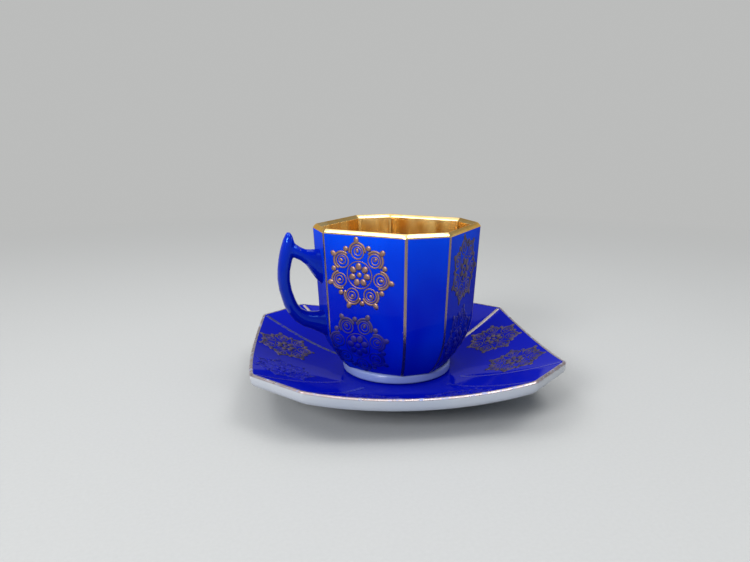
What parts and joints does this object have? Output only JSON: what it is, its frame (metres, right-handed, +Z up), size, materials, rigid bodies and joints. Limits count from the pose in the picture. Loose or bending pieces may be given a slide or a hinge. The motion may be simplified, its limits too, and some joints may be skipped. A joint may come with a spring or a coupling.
{
  "type": "espresso cup",
  "caption": "Eight-sided cobalt espresso cup with an ear handle, gilded inside and along its edges, standing loose on a cut-corner square saucer.",
  "frame": {"origin": "on the table, under the middle of the saucer's foot ring", "axes": "+Z up along the cup's axis; the handle points along -X; +Y completes the frame"},
  "size_m": [0.1192, 0.1192, 0.062],
  "materials": {
    "cobalt_glaze": "glossy cobalt-blue glaze on porcelain",
    "white_porcelain": "white porcelain under a clear glaze",
    "bright_gold": "bright fired-on gold, polished"
  },
  "bodies": {
    "saucer": {"saucer_foot_ring": "white_porcelain", "saucer_gold_line_1": "bright_gold", "saucer_gold_line_2": "bright_gold", "saucer_gold_line_3": "bright_gold", "saucer_gold_line_4": "bright_gold", "saucer_gold_line_5": "bright_gold", "saucer_gold_line_6": "bright_gold", "saucer_gold_line_7": "bright_gold", "saucer_gold_line_8": "bright_gold", "saucer_plate": "cobalt_glaze", "saucer_rim_line": "bright_gold"},
    "cup": {"cup_body": "cobalt_glaze", "cup_foot_ring": "white_porcelain", "cup_gold_line_1": "bright_gold", "cup_gold_line_2": "bright_gold", "cup_gold_line_3": "bright_gold", "cup_gold_line_4": "bright_gold", "cup_gold_line_5": "bright_gold", "cup_gold_line_6": "bright_gold", "cup_gold_line_7": "bright_gold", "cup_gold_line_8": "bright_gold", "cup_gold_lining": "bright_gold", "cup_handle": "cobalt_glaze", "cup_rim_band": "bright_gold"}
  },
  "joints": [
    {"name": "cup_lift", "type": "slide", "parent": "saucer", "child": "cup", "axis": [0, 0, 1], "range_m": [0, 0.06]}
  ]
}
